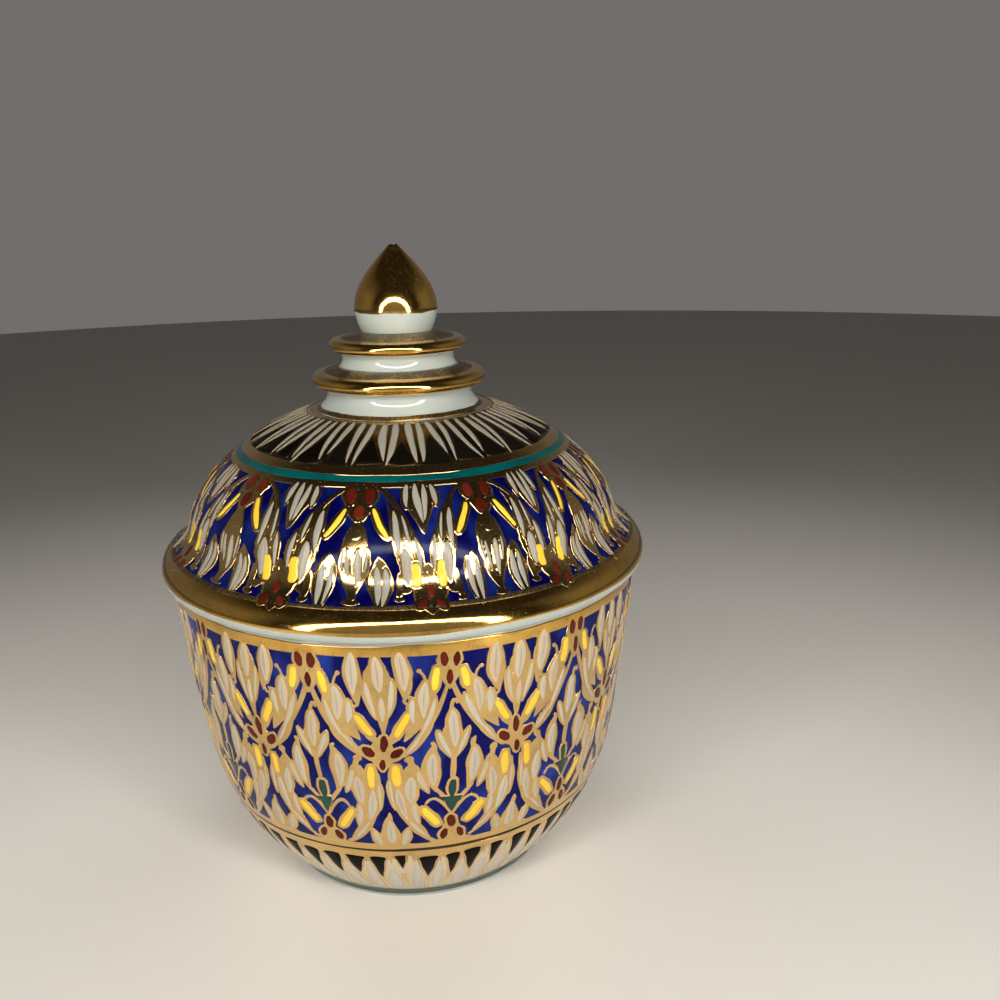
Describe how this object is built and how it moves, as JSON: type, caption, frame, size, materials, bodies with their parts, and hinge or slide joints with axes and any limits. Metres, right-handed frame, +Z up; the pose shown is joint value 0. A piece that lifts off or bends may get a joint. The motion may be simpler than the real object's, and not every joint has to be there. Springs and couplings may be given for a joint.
{
  "type": "lidded porcelain cup",
  "caption": "Small round porcelain cup with a domed lid and a tiered bud finial, enamelled all over in cobalt blue with gilt lattice and flower ornament.",
  "frame": {"origin": "centre of the foot ring, on the surface that the cup stands on", "axes": "+Z up along the axis that the cup and the lid were turned on; X and Y are level"},
  "size_m": [0.084, 0.084, 0.1082],
  "materials": {
    "cup_enamelled_porcelain": "glossy cobalt enamel with gilt lines over white glaze",
    "lid_enamelled_porcelain": "glossy cobalt enamel with gilt lines over white glaze",
    "gilt_porcelain": "bright gold lustre over white glaze"
  },
  "bodies": {
    "cup": {"cup_bowl": "cup_enamelled_porcelain"},
    "lid": {"lid_dome": "lid_enamelled_porcelain", "finial_lower_tier": "gilt_porcelain", "finial_upper_tier": "gilt_porcelain", "finial_bud": "gilt_porcelain"}
  },
  "joints": [
    {"name": "lid_lift", "type": "slide", "parent": "cup", "child": "lid", "axis": [0, 0, 1], "range_m": [0, 0.08]}
  ]
}
